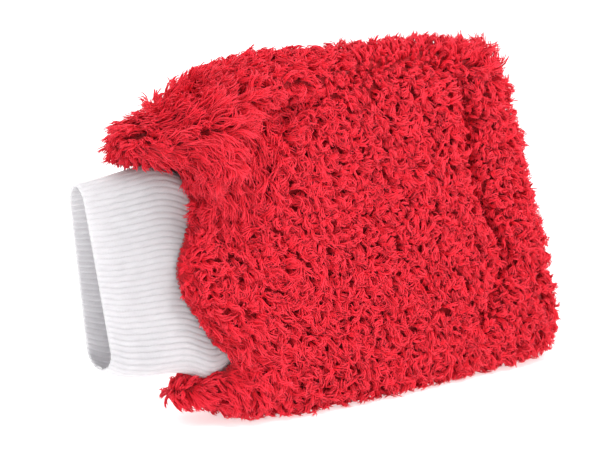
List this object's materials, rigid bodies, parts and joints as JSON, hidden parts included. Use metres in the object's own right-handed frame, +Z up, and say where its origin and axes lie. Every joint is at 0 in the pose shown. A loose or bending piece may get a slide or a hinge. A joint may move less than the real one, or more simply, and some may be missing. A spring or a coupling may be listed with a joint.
{
  "type": "wash mitt",
  "caption": "Plush car wash mitt: a padded, lined pouch of long curly pile with a ribbed knitted wrist cuff, standing on its side edge.",
  "frame": {"origin": "on the floor, under the middle of the mitt's overall box", "axes": "+X from the cuff's mouth to the finger end, +Y from the front panel to the back panel, +Z up across the mitt's width"},
  "size_m": [0.302, 0.0906, 0.1936],
  "materials": {
    "plush": "long curly pile, soft sheen",
    "wadding": "matt fibre wadding",
    "lining_knit": "smooth warp knit",
    "rib_knit": "ribbed knit, matt",
    "red_thread": "spun polyester thread",
    "white_thread": "spun polyester thread"
  },
  "bodies": {
    "root": {"front_pile_panel": "plush", "back_pile_panel": "plush", "front_padding": "wadding", "back_padding": "wadding", "front_lining": "lining_knit", "back_lining": "lining_knit", "ribbed_cuff": "rib_knit", "perimeter_seam_thread": "red_thread", "lining_seam_thread": "white_thread", "cuff_joining_seam_thread": "red_thread", "cuff_side_seam_thread": "white_thread"}
  },
  "joints": []
}
